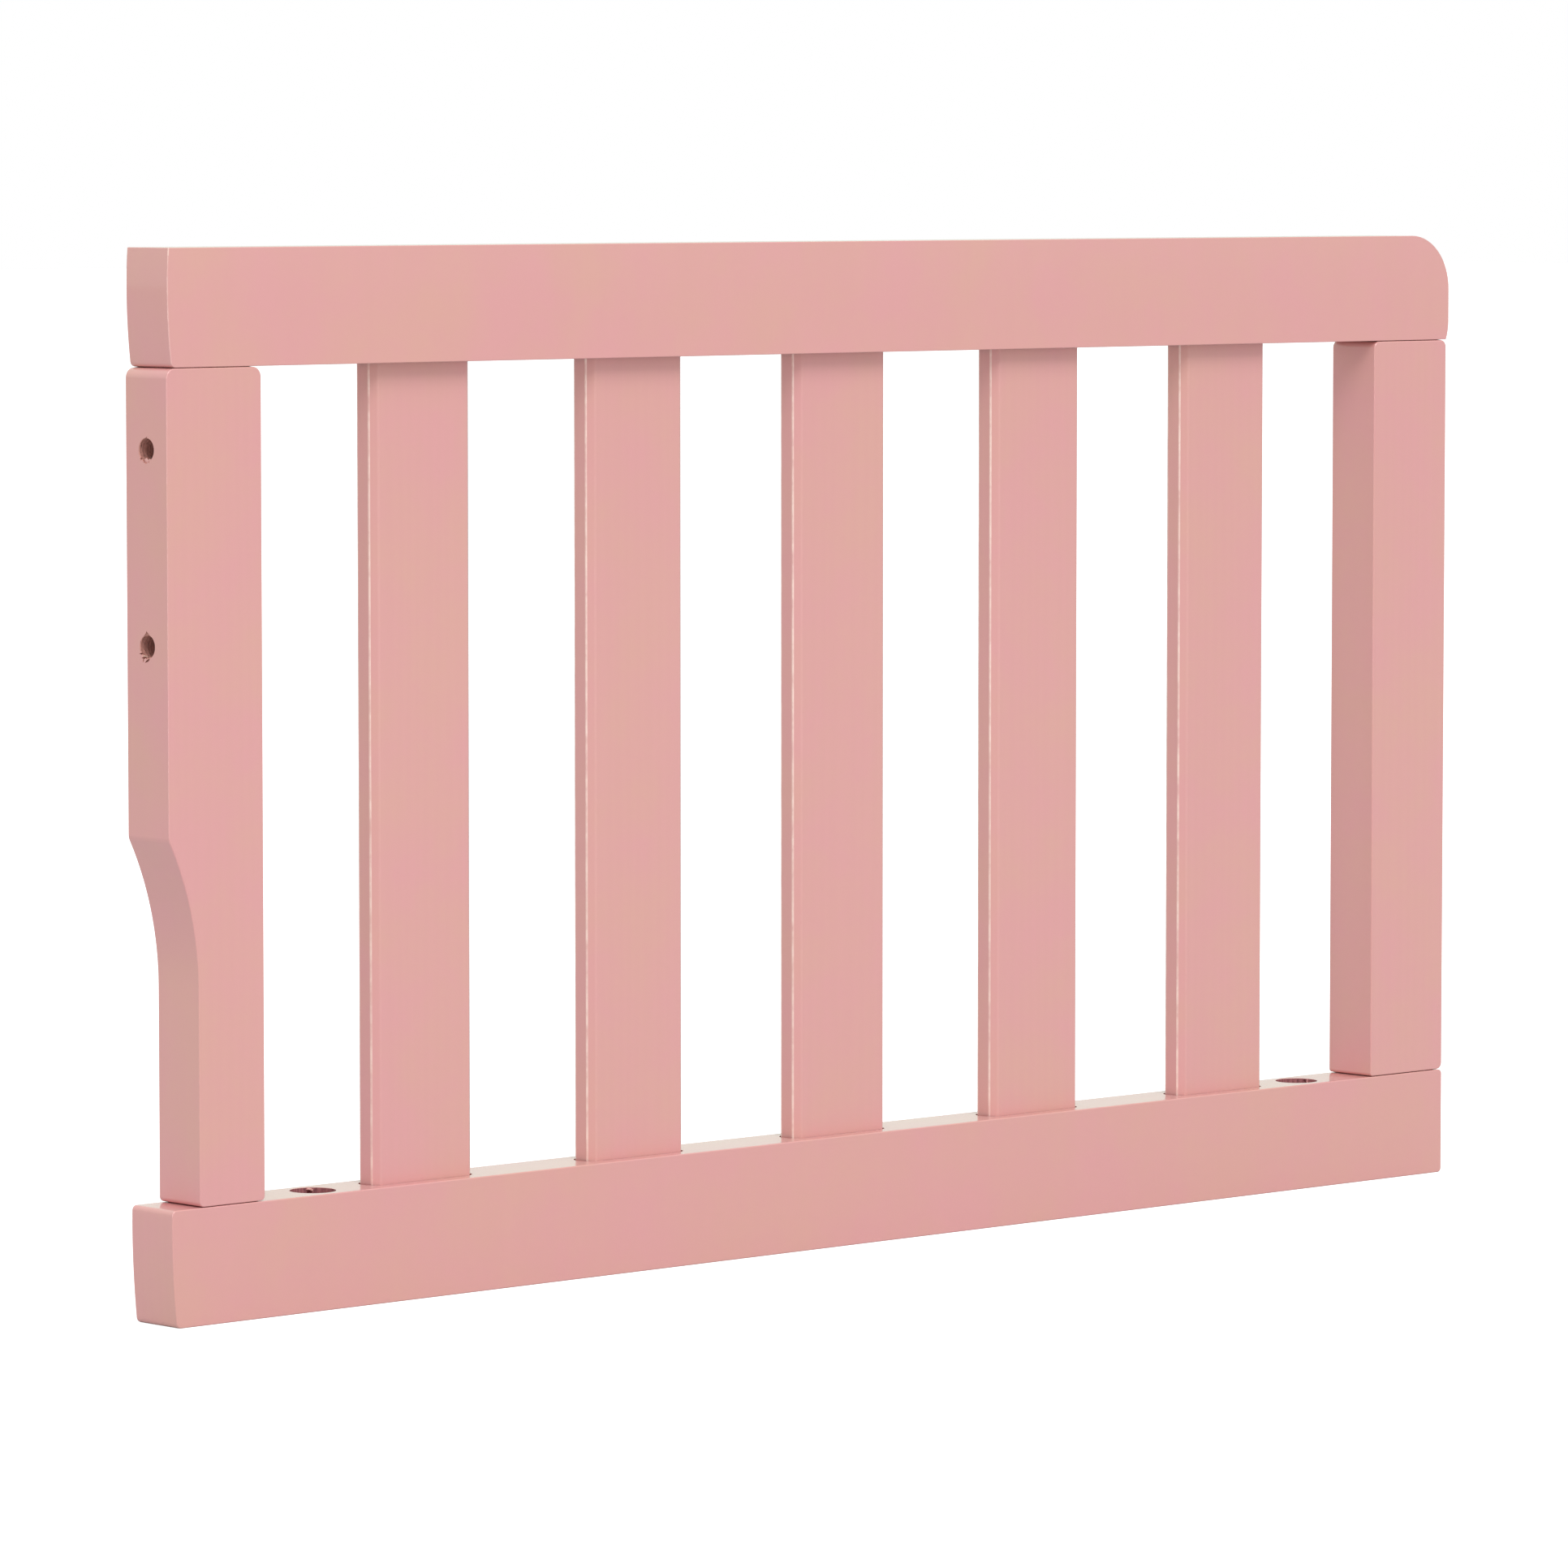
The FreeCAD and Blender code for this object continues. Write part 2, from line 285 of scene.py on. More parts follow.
# Bare wood with its grain upright
def makeRawWood(name, pale, dark, porous):
    material, tree, shader = newMaterial(name)
    link = tree.links.new
    place = addNode(tree, "ShaderNodeTexCoord", -1300, 0)
    along = addNode(tree, "ShaderNodeMapping", -1100, 200, {"Scale": (1, 1, rawWoodFinish["squeeze"])})
    link(place.outputs["Object"], along.inputs["Vector"])
    grain = useGroup(tree, woodGrain, -850, 200, {"Ring Scale": 240.0, "Pore Scale": 2400.0})
    link(along.outputs["Vector"], grain.inputs["Vector"])
    body = addNode(tree, "ShaderNodeValToRGB", -550, 200)
    setRamp(body, [(0.2, dark), (0.75, pale)])
    link(grain.outputs["Grain"], body.inputs["Fac"])
    pits = addNode(tree, "ShaderNodeMix", -200, 200, data_type="RGBA")
    pits.inputs["B"].default_value = (*[c * rawWoodFinish["pitShade"] for c in dark], 1)
    link(grain.outputs["Pores"], pits.inputs["Factor"])
    link(body.outputs["Color"], pits.inputs["A"])
    link(pits.outputs["Result"], shader.inputs["Base Color"])
    rough = mixValue(tree, -200, -50, rawWoodFinish["roughLow"], rawWoodFinish["roughHigh"])
    link(grain.outputs["Grain"], rough.inputs["Value"])
    link(rough.outputs["Result"], shader.inputs["Roughness"])
    drop = addNode(tree, "ShaderNodeMath", -200, -300, operation="SUBTRACT")
    link(grain.outputs["Grain"], drop.inputs[0])
    link(grain.outputs["Pores"], drop.inputs[1])
    bump = addNode(tree, "ShaderNodeBump", 200, -300,
                   {"Strength": porous, "Distance": rawWoodFinish["bumpDistance"]})
    link(drop.outputs["Value"], bump.inputs["Height"])
    link(bump.outputs["Normal"], shader.inputs["Normal"])
    return material


quarter = math.radians(90)
railPaint = makePaint("railPaint", (0, quarter, 0))
uprightPaint = makePaint("uprightPaint", (0, 0, 0))
tornWood, boreWood, splinterWood, dowelWood = [makeRawWood(name, *look)
                                               for name, look in rawWoods.items()]
print("materials ready")

overshoot = 1 * mm       # how far a cutter passes the surface that it opens
seamShift = 0.13 * mm    # keeps a seam clear of the cutters' own corners
slack = 0.1 * mm         # for finding vertices by where they are
tear = {"taper": 0.85, "taperPower": 1.2, "noiseScale": 2.2, "noiseDepth": 0.18}
lump = {"noiseScale": 1.8, "noiseDepth": 0.16}
noise.seed_set(4)  # without a seed the noise follows the clock, and the torn wood differs each run
finish = {"merge": 0.003 * mm, "sharpAngle": 38, "flatWeight": 60}


# Small helpers for the meshes
def near(a, b, apart=0.02 * mm):
    return abs(a - b) < apart


# A board from the corners of its outline, front face at frontY
def boardFrom(corners):
    bm = bmesh.new()
    bm.faces.new([bm.verts.new((x, frontY, z)) for x, z in corners])
    return bm


def curveSide(bm, isOnSide, cuts, move):
    side = [e for e in bm.edges if all(isOnSide(v) for v in e.verts)]
    made = bmesh.ops.subdivide_edges(bm, edges=side, cuts=cuts)
    for piece in made["geom_inner"]:
        if isinstance(piece, bmesh.types.BMVert):
            piece.co.x = move(piece.co.z)


def thicken(bm, thickness):
    made = bmesh.ops.extrude_face_region(bm, geom=bm.faces[:])
    verts = [g for g in made["geom"] if isinstance(g, bmesh.types.BMVert)]
    bmesh.ops.translate(bm, vec=(0, thickness, 0), verts=verts)
    bmesh.ops.recalc_face_normals(bm, faces=bm.faces)


def roundCorner(bm, x, z, radius, segments):
    picked = [e for e in bm.edges if all(near(v.co.x, x) and near(v.co.z, z) for v in e.verts)]
    bmesh.ops.bevel(bm, geom=picked, offset=radius, offset_type="OFFSET", segments=segments,
                    profile=0.5, affect="EDGES", clamp_overlap=False, material=-1)


def markFaces(bm, faces, amount):
    layer = bm.faces.layers.float.get("edgeMask") or bm.faces.layers.float.new("edgeMask")
    for face in faces:
        if face.is_valid:
            face[layer] = amount


# Rounds all the edges around the front and back of a board. The given function sets how strong the painted
# highlight is at a place.
def easeFaces(bm, radius, highlightAt=None, segments=4):
    markFaces(bm, [], 0)
    rim = [e for e in bm.edges if e.calc_face_angle(0) > 0.5
           and any(abs(f.normal.y) > 0.99 for f in e.link_faces)]
    made = bmesh.ops.bevel(bm, geom=rim, offset=radius, offset_type="OFFSET",
                           segments=segments, profile=0.5, affect="EDGES",
                           clamp_overlap=False, material=-1)
    for face in made["faces"]:
        markFaces(bm, [face], highlightAt(face.calc_center_median()) if highlightAt else 0)


# Cuts a board's faces at each place along an axis, so that no hole lies wholly inside one face
def splitAcross(bm, axis, places):
    for place in places:
        spot, normal = Vector(), Vector()
        spot[axis] = place + seamShift
        normal[axis] = 1
        bmesh.ops.bisect_plane(bm, geom=bm.verts[:] + bm.edges[:] + bm.faces[:], dist=0.001 * mm,
                               plane_co=spot, plane_no=normal)


# Leaves a post's end standing on a slightly smaller raised seat, so the joint shows as a fine line
def raiseSeat(bm, end, inset, height):
    flat = [f for f in bm.faces if f.normal.z * end > 0.9999]
    bmesh.ops.inset_region(bm, faces=flat, thickness=inset)
    bmesh.ops.translate(bm, vec=(0, 0, end * height), verts=list({v for f in flat for v in f.verts}))


def toObject(bm, name, materials):
    mesh = bpy.data.meshes.new(name)
    bm.to_mesh(mesh)
    bm.free()
    piece = bpy.data.objects.new(name, mesh)
    bpy.context.scene.collection.objects.link(piece)
    for material in materials:
        mesh.materials.append(material)
    return piece


# All the cutters work in one step, which is cleaner than one after another
def cutAway(piece, cutters, materials):
    cutterSet = bpy.data.collections.new("cutters")
    for cutter in cutters:
        cutterSet.objects.link(cutter)
    step = piece.modifiers.new("cut", "BOOLEAN")
    step.operation = "DIFFERENCE"
    step.solver = "EXACT"
    step.material_mode = "INDEX"
    step.operand_type = "COLLECTION"
    step.collection = cutterSet
    graph = bpy.context.evaluated_depsgraph_get()
    mesh = bpy.data.meshes.new_from_object(piece.evaluated_get(graph), depsgraph=graph)
    piece.modifiers.clear()
    old = piece.data
    piece.data = mesh
    bpy.data.meshes.remove(old)
    mesh.name = piece.name
    bpy.data.collections.remove(cutterSet)
    for cutter in cutters:
        bpy.data.objects.remove(cutter)
    for index, material in enumerate(materials):
        if index < len(mesh.materials):
            mesh.materials[index] = material
        else:
            mesh.materials.append(material)


# A turned cutter along Z. Each ring is a height, a radius and the material of the wall below it.
# The last wall gets the mask of the painted highlight, a pale lit rim at the mouth.
def turnedCutter(name, rings, place, turn=Matrix.Identity(3), segments=72):
    bm = bmesh.new()
    foot, radius = rings[0][:2]
    bmesh.ops.create_circle(bm, cap_ends=True, segments=segments, radius=radius)
    bmesh.ops.translate(bm, verts=bm.verts, vec=(0, 0, foot))
    top = bm.faces[:]
    for height, wider, index in rings[1:]:
        rim = [e for f in top for e in f.edges]      # without its edges the old top would stay inside
        made = bmesh.ops.extrude_face_region(bm, geom=top + rim)
        top = [g for g in made["geom"] if isinstance(g, bmesh.types.BMFace)]
        verts = [g for g in made["geom"] if isinstance(g, bmesh.types.BMVert)]
        bmesh.ops.translate(bm, verts=verts, vec=(0, 0, height - foot))
        bmesh.ops.scale(bm, verts=verts, vec=(wider / radius, wider / radius, 1))
        wall = {f for v in verts for f in v.link_faces} - set(top)
        for face in wall:
            face.material_index = index
        foot, radius = height, wider
    markFaces(bm, wall, 1.0)
    bmesh.ops.recalc_face_normals(bm, faces=bm.faces)
    bmesh.ops.rotate(bm, verts=bm.verts, cent=(0, 0, 0), matrix=turn)
    bmesh.ops.translate(bm, verts=bm.verts, vec=place)
    return toObject(bm, name, [railPaint, tornWood])


# A round-ended pocket between the heights low and high
def pocketCutter(name, centreX, length, width, low, high):
    bm = bmesh.new()
    bmesh.ops.create_cube(bm, size=1)
    bmesh.ops.scale(bm, verts=bm.verts, vec=(length, width, high - low))
    upright = [e for e in bm.edges if near(e.verts[0].co.x, e.verts[1].co.x)
               and near(e.verts[0].co.y, e.verts[1].co.y)]
    bmesh.ops.bevel(bm, geom=upright, offset=width / 2 * pocket["endRounding"], offset_type="OFFSET",
                    segments=10, profile=0.5, affect="EDGES", clamp_overlap=False, material=-1)
    bmesh.ops.translate(bm, verts=bm.verts, vec=(centreX, 0, (low + high) / 2))
    return toObject(bm, name, [railPaint, tornWood])


# A torn spot, pointed at its upper end before it is turned
def tearCutter(name, middle, size, turn, seed):
    bm = bmesh.new()
    bmesh.ops.create_icosphere(bm, subdivisions=2, radius=1)
    shift = Vector((seed * 1.7, seed * 0.9, seed * 2.3))
    for vert in bm.verts:
        vert.co.y *= 1 - tear["taper"] * max(0, vert.co.z) ** tear["taperPower"]
        vert.co += noise.noise_vector(vert.co * tear["noiseScale"] + shift) * tear["noiseDepth"]
        vert.co = Vector((vert.co.x * size[0], vert.co.y * size[1], vert.co.z * size[2]))
    bmesh.ops.rotate(bm, verts=bm.verts, cent=(0, 0, 0), matrix=turn)
    bmesh.ops.translate(bm, verts=bm.verts, vec=middle)
    for face in bm.faces:
        face.material_index = 1
    return toObject(bm, name, [railPaint, tornWood])


# Adds a lump or a sliver to a piece's mesh, sunk partly into it
def addLump(piece, middle, size, taper, lean, seed, materialIndex):
    bm = bmesh.new()
    bmesh.ops.create_icosphere(bm, subdivisions=3, radius=1)
    shift = Vector((seed * 2.1, seed * 1.3, seed * 0.7))
    for vert in bm.verts:
        narrow = 1 - taper * (vert.co.z + 1) / 2
        vert.co.x *= narrow
        vert.co.y *= narrow
        vert.co += noise.noise_vector(vert.co * lump["noiseScale"] + shift) * lump["noiseDepth"]
        vert.co = Vector((vert.co.x * size[0], vert.co.y * size[1], vert.co.z * size[2]))
    bmesh.ops.rotate(bm, verts=bm.verts, cent=(0, 0, 0), matrix=lean)
    bmesh.ops.translate(bm, verts=bm.verts, vec=middle)
    for face in bm.faces:
        face.material_index = materialIndex
    bm.from_mesh(piece.data)
    bm.to_mesh(piece.data)
    bm.free()


# Smooth faces, sharp hard edges, and normals weighted to the wide flat faces
def finishPiece(piece, slotName, *nodes):
    bm = bmesh.new()
    bm.from_mesh(piece.data)
    bmesh.ops.remove_doubles(bm, verts=bm.verts, dist=finish["merge"])
    bmesh.ops.dissolve_degenerate(bm, edges=bm.edges, dist=finish["merge"])
    for face in bm.faces:
        face.smooth = True
    for edge in bm.edges:
        edge.smooth = edge.calc_face_angle(0) < math.radians(finish["sharpAngle"])
    bm.to_mesh(piece.data)
    bm.free()
    weighted = piece.modifiers.new("weighted", "WEIGHTED_NORMAL")
    weighted.keep_sharp = True
    weighted.weight = finish["flatWeight"]
    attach(piece, "root")
    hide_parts(*nodes)


pocket = {
    "depth": 10.0 * mm,
    "sideClearance": 0.2 * mm,
    "endReach": 1.6 * mm,        # how far a pocket runs past the slat at each end
    "endRounding": 0.998,        # of half its width
}
slatCentres = [(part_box(name)[0].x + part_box(name)[1].x) / 2 for name in slatNames]
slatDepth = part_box(slatNames[0])[1].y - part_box(slatNames[0])[0].y
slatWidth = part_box(slatNames[0])[1].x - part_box(slatNames[0])[0].x


def pockets(low, high):
    width = slatDepth + 2 * pocket["sideClearance"]
    length = slatWidth + 2 * pocket["endReach"]
    return [pocketCutter("pocket", x, length, width, low, high) for x in slatCentres]


# The top rail. A fall is how far the end's foot or head lies inside its fullest point.
endZone = 3 * mm    # a rail's left end lies within this of its fullest point

topRailSizes = {
    "endRadius": 20.0 * mm,
    "turnHeight": 7.0 * mm,
    "cornerRadius": 1.6 * mm,
    "smallCorner": 0.3 * mm,
    "arris": 0.32 * mm,
    "endPaleness": 0.3,          # painted highlight along the upright edge of the left end
    "wornPaleness": 1.0,         # stronger painted highlight at that edge's top
    "paleFoot": 1.0 * mm,        # where the painted highlight starts
    "wornHeight": 1.5 * mm,
    "lowFall": 1.6 * mm,
    "highFall": 0.5 * mm,
    "swellDrop": 13.0 * mm,
}


# Gives a rail's left end its swelling
def swellEnd(bm, size, left, low, high):
    full = high - size["swellDrop"]

    def onEnd(v):
        return v.co.x < left + endZone

    def place(z):
        if z < full:
            return left + size["lowFall"] * ((full - z) / (full - low)) ** 2
        return left + size["highFall"] * ((z - full) / (high - full)) ** 2

    curveSide(bm, onEnd, 14, place)


def buildTopRail():
    size = topRailSizes
    low, high = topLow.z, topHigh.z
    left, right, postX = topLow.x, topHigh.x, rightHigh.x
    lowLeft = left + size["lowFall"]
    highLeft = left + size["highFall"]
    turnZ = low + size["turnHeight"]
    bm = boardFrom([(lowLeft, low), (highLeft, high), (right, high), (right, turnZ), (postX, low)])

    def onTurn(v):
        return v.co.x > postX - slack and v.co.z < turnZ + slack

    swellEnd(bm, size, left, low, high)
    curveSide(bm, onTurn, 5, lambda z: right - (right - postX) * ((turnZ - z) / (turnZ - low)) ** 2)
    thicken(bm, boardThickness)
    roundCorner(bm, right, high, size["endRadius"], 24)
    roundCorner(bm, lowLeft, low, size["cornerRadius"], 5)
    roundCorner(bm, highLeft, high, size["smallCorner"], 4)
    roundCorner(bm, postX, low, size["smallCorner"], 4)

    # painted highlight: the left end's arrises are paler, most of all near the top
    def highlightAt(place):
        if place.x > left + endZone or place.z < low + size["paleFoot"]:
            return 0.0
        return size["wornPaleness"] if place.z > high - size["wornHeight"] else size["endPaleness"]

    easeFaces(bm, size["arris"], highlightAt)
    splitAcross(bm, 0, slatCentres)
    piece = toObject(bm, "topRail", [railPaint])
    cutAway(piece, pockets(low - overshoot, low + pocket["depth"]) + dowelBores("upper"), [railPaint])
    finishPiece(piece, "painted_wood", "top_rail")


# The dowels, and the bores they stand in
dowelSizes = {"clearance": 0.1 * mm, "endClearance": 0.5 * mm, "flute": 0.28 * mm,
              "flutes": 20, "chamfer": 1.0 * mm}


def dowelBores(level):
    bores = []
    for name in dowelNames:
        if level in name:
            low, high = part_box(name)
            axis = (low + high) / 2
            reach = (high.z - low.z) / 2 + dowelSizes["endClearance"]
            radius = (high.x - low.x) / 2 + dowelSizes["clearance"]
            rings = [(-reach, radius, 0), (reach, radius, 0)]
            bores.append(turnedCutter("bore", rings, axis, segments=32))
    return bores


def buildDowel(node):
    low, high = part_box(node)
    radius = (high.x - low.x) / 2
    bm = bmesh.new()
    bmesh.ops.create_circle(bm, cap_ends=True, segments=dowelSizes["flutes"] * 4, radius=radius)
    ring = sorted(bm.verts, key=lambda v: math.atan2(v.co.y, v.co.x))
    for index, vert in enumerate(ring):
        if index % 4 == 0:
            vert.co *= (radius - dowelSizes["flute"]) / radius
    made = bmesh.ops.extrude_face_region(bm, geom=bm.faces[:])
    top = [g for g in made["geom"] if isinstance(g, bmesh.types.BMVert)]
    bmesh.ops.translate(bm, vec=(0, 0, high.z - low.z), verts=top)
    bmesh.ops.recalc_face_normals(bm, faces=bm.faces)
    for end in (-1, 1):
        cap = [f for f in bm.faces if f.normal.z * end > 0.9]
        made = bmesh.ops.inset_region(bm, faces=cap, thickness=dowelSizes["chamfer"] * 0.8)
        inner = {v for f in cap for v in f.verts}
        outer = {v for f in made["faces"] for v in f.verts} - inner
        bmesh.ops.translate(bm, vec=(0, 0, -end * dowelSizes["chamfer"]), verts=list(outer))
    bmesh.ops.translate(bm, vec=((low.x + high.x) / 2, (low.y + high.y) / 2, low.z), verts=bm.verts)
    piece = toObject(bm, "dowel" + node.replace("dowel", "").title().replace("_", ""), [dowelWood])
    finishPiece(piece, "raw_wood", node)


# The bottom rail
bottomRailSizes = {
    "cornerRadius": 1.6 * mm,
    "arris": 0.45 * mm,
    "lowFall": 1.8 * mm,
    "highFall": 0.1 * mm,
    "swellDrop": 6.0 * mm,
    "boltInset": 68.0 * mm,
    "boltRadius": 3.7 * mm,
    "boreRadius": 7.75 * mm,
    "boreDepth": 20.0 * mm,
    "flare": 0.1 * mm,
    # paint caught on the bore walls: bolt number, angle round the bore, drop, half sizes (along, out, up)
    "runs": [
        (0, 60, 0.62 * mm, (1.20 * mm, 0.65 * mm, 0.42 * mm), 3),
        (0, 53, 0.95 * mm, (0.50 * mm, 0.45 * mm, 0.45 * mm), 5),
        (1, 12, 1.60 * mm, (0.32 * mm, 0.35 * mm, 1.5 * mm), 8),
    ],
    # dark tears beside them: bolt number, angle, drop, half sizes
    "tears": [
        (0, 60, 1.75 * mm, (0.9 * mm, 0.9 * mm, 0.8 * mm), 2),
        (1, 20, 1.5 * mm, (0.6 * mm, 0.8 * mm, 1.4 * mm), 4),
    ],
}


def buildBottomRail():
    size = bottomRailSizes
    low, high = bottomLow.z, bottomHigh.z
    left, right = bottomLow.x, bottomHigh.x
    lowLeft = left + size["lowFall"]
    highLeft = left + size["highFall"]
    bm = boardFrom([(lowLeft, low), (highLeft, high), (right, high), (right, low)])
    swellEnd(bm, size, left, low, high)
    thicken(bm, boardThickness)
    for x, z in ((lowLeft, low), (highLeft, high), (right, high), (right, low)):
        roundCorner(bm, x, z, size["cornerRadius"], 5)
    easeFaces(bm, size["arris"])
    boltXs = (left + size["boltInset"], right - size["boltInset"])
    splitAcross(bm, 0, [*boltXs, *slatCentres])
    piece = toObject(bm, "bottomRail", [railPaint, boreWood])
    cutters = pockets(high - pocket["depth"], high + overshoot) + dowelBores("lower")
    ledge = high - size["boreDepth"]
    rings = [
        (low - overshoot, size["boltRadius"], 0),
        (ledge, size["boltRadius"], 0),
        (ledge, size["boreRadius"], 0),
        (high - size["flare"], size["boreRadius"], 1),
        (high + overshoot, size["boreRadius"] + size["flare"] + overshoot, 0),
    ]
    for x in boltXs:
        cutters.append(turnedCutter("bore", rings, (x, 0, 0)))

    def onWall(bolt, angle, drop):
        a = math.radians(angle)
        out = Vector((math.cos(a), math.sin(a), 0))
        return Vector((boltXs[bolt], 0, high - drop)) + out * size["boreRadius"], a

    for bolt, angle, drop, half, seed in size["tears"]:
        middle, a = onWall(bolt, angle, drop)
        cutters.append(tearCutter("tear", middle, half, Matrix.Rotation(a - quarter, 3, "Z"), seed))
    cutAway(piece, cutters, [railPaint, boreWood])
    for bolt, angle, drop, half, seed in size["runs"]:
        middle, a = onWall(bolt, angle, drop)
        addLump(piece, middle, half, 0.2, Matrix.Rotation(a - quarter, 3, "Z"), seed, 0)
    finishPiece(piece, "painted_wood", "bottom_rail")


# The posts
seat = {"inset": 1.4 * mm, "height": 0.2 * mm}

leftPostSizes = {
    "notchDepth": 12.1 * mm,
    "notchRadius": 108.0 * mm,
    "notchTangent": 110.0 * mm,
    "notchCorner": 1.0 * mm,
    "topRadius": 3.3 * mm,
    "footRadius": 1.6 * mm,
    "arris": 0.4 * mm,
    "boltRadius": 3.75 * mm,
    "boltSpacing": 64.0 * mm,
    "boltDrop": 58.75 * mm,
    "flare": 0.2 * mm,
    # torn spots round each bolt hole, seen from the left: across (towards the front), up,
    # half sizes (in, across, along), lean of the point from upright, seed
    "lowerTears": [
        (-0.25 * mm, 3.75 * mm, (0.7 * mm, 1.45 * mm, 1.35 * mm), -4, 1),
        (-3.30 * mm, -2.35 * mm, (0.7 * mm, 0.30 * mm, 0.95 * mm), -90, 2),
        (-1.50 * mm, -3.60 * mm, (1.0 * mm, 0.45 * mm, 1.70 * mm), -94, 3),
        (-2.15 * mm, -4.45 * mm, (0.7 * mm, 0.34 * mm, 0.80 * mm), -162, 4),
        (-0.10 * mm, -4.55 * mm, (0.9 * mm, 0.40 * mm, 1.50 * mm), -118, 5),
    ],
    "upperTears": [
        (0.05 * mm, 3.85 * mm, (0.5 * mm, 0.30 * mm, 0.75 * mm), 41, 6),
        (-3.15 * mm, -1.30 * mm, (0.3 * mm, 0.75 * mm, 1.60 * mm), 172, 8),
        (-2.80 * mm, -3.00 * mm, (0.7 * mm, 0.45 * mm, 0.55 * mm), -150, 9),
        (-0.20 * mm, -3.60 * mm, (0.9 * mm, 1.75 * mm, 1.00 * mm), 176, 10),
        (1.20 * mm, -3.55 * mm, (0.8 * mm, 0.50 * mm, 0.70 * mm), 165, 11),
    ],
    # slivers and flakes left standing: across, up, depth, half sizes, taper, lean, seed, material
    "lowerSlivers": [
        (-1.70 * mm, -3.02 * mm, 0.24 * mm, (0.16 * mm, 0.17 * mm, 1.85 * mm), 0.7, 94, 2, 2),
        (-1.25 * mm, -4.30 * mm, 0.28 * mm, (0.22 * mm, 0.22 * mm, 0.70 * mm), 0.6, -14, 4, 0),
        (1.30 * mm, -3.75 * mm, 0.35 * mm, (0.30 * mm, 0.45 * mm, 0.80 * mm), 0.4, -60, 7, 1),
    ],
    "upperSlivers": [
        (-0.55 * mm, -3.55 * mm, 0.62 * mm, (0.22 * mm, 1.35 * mm, 0.85 * mm), 0.3, 8, 3, 0),
        (0.95 * mm, -3.40 * mm, 0.72 * mm, (0.20 * mm, 0.75 * mm, 0.60 * mm), 0.4, -20, 5, 0),
        (-2.95 * mm, -2.00 * mm, 0.70 * mm, (0.35 * mm, 0.22 * mm, 0.80 * mm), 0.5, 6, 6, 1),
    ],
}


def buildLeftPost():
    size = leftPostSizes
    low, high = leftLow.z + seat["height"], leftHigh.z - seat["height"]
    left, right = leftLow.x, leftHigh.x
    footX = left + size["notchDepth"]
    tangentZ = size["notchTangent"]
    centreX = footX - size["notchRadius"]
    rise = math.sqrt(size["notchRadius"] ** 2 - (left - centreX) ** 2)
    curveTop = tangentZ + rise
    bm = boardFrom([(footX, low), (footX, tangentZ), (left, curveTop), (left, high),
                    (right, high), (right, low)])

    def onCurve(v):
        return v.co.x < footX + slack and tangentZ - slack < v.co.z < curveTop + slack

    curveSide(bm, onCurve, 20, lambda z: centreX + math.sqrt(size["notchRadius"] ** 2 - (z - tangentZ) ** 2))
    thicken(bm, boardThickness)
    roundCorner(bm, left, curveTop, size["notchCorner"], 5)
    for x in (footX, right):
        roundCorner(bm, x, low, size["footRadius"], 5)
    for x in (left, right):
        roundCorner(bm, x, high, size["topRadius"], 8)
    easeFaces(bm, size["arris"])
    for end in (-1, 1):
        raiseSeat(bm, end, seat["inset"], seat["height"])
    middle = leftHigh.z - size["boltDrop"]
    boltZs = (middle - size["boltSpacing"] / 2, middle + size["boltSpacing"] / 2)
    splitAcross(bm, 1, [0])
    splitAcross(bm, 2, [boltZs[0], middle, boltZs[1]])
    piece = toObject(bm, "leftPost", [uprightPaint, tornWood])
    cutters = dowelBores("left")
    rings = [
        (-right - overshoot, size["boltRadius"], 1),
        (-left - size["flare"], size["boltRadius"], 1),
        (-left + overshoot, size["boltRadius"] + size["flare"] + overshoot, 1),
    ]
    outward = Matrix.Rotation(-quarter, 3, "Y")
    for z, tears in zip(boltZs, (size["lowerTears"], size["upperTears"])):
        cutters.append(turnedCutter("bolt", rings, (0, 0, z), outward))
        for across, up, half, lean, seed in tears:
            turn = Matrix.Rotation(math.radians(lean), 3, "X")
            cutters.append(tearCutter("tear", Vector((left, -across, z + up)), half, turn, seed))
    cutAway(piece, cutters, [uprightPaint, tornWood, splinterWood])
    for z, slivers in zip(boltZs, (size["lowerSlivers"], size["upperSlivers"])):
        for across, up, depth, half, taper, lean, seed, index in slivers:
            turn = Matrix.Rotation(math.radians(lean), 3, "X")
            addLump(piece, Vector((left + depth, -across, z + up)), half, taper, turn, seed, index)
    finishPiece(piece, "painted_wood", "left_post")


rightPostSizes = {
    "topRadius": 2.5 * mm,
    "outerFootRadius": 2.4 * mm,
    "innerFootRadius": 1.2 * mm,
    "arris": 0.5 * mm,
}


def buildRightPost():
    size = rightPostSizes
    low, high = rightLow.z + seat["height"], rightHigh.z - seat["height"]
    left, right = rightLow.x, rightHigh.x
    bm = boardFrom([(left, low), (left, high), (right, high), (right, low)])
    thicken(bm, boardThickness)
    roundCorner(bm, left, low, size["innerFootRadius"], 5)
    roundCorner(bm, right, low, size["outerFootRadius"], 6)
    for x in (left, right):
        roundCorner(bm, x, high, size["topRadius"], 5)
    easeFaces(bm, size["arris"])
    for end in (-1, 1):
        raiseSeat(bm, end, seat["inset"], seat["height"])
    piece = toObject(bm, "rightPost", [uprightPaint])
    cutAway(piece, dowelBores("right"), [uprightPaint])
    finishPiece(piece, "painted_wood", "right_post")


# The slats
slatSizes = {
    "chamfer": 2.3 * mm,
    "sideEdge": 0.46 * mm,       # where the chamfer meets the slat's side
    "faceEdge": 0.50 * mm,       # and its face
    # painted highlight on the rounded edges, strongest where the chamfer meets the side
    "sidePaleness": 1.0,
    "facePaleness": 0.05,
}


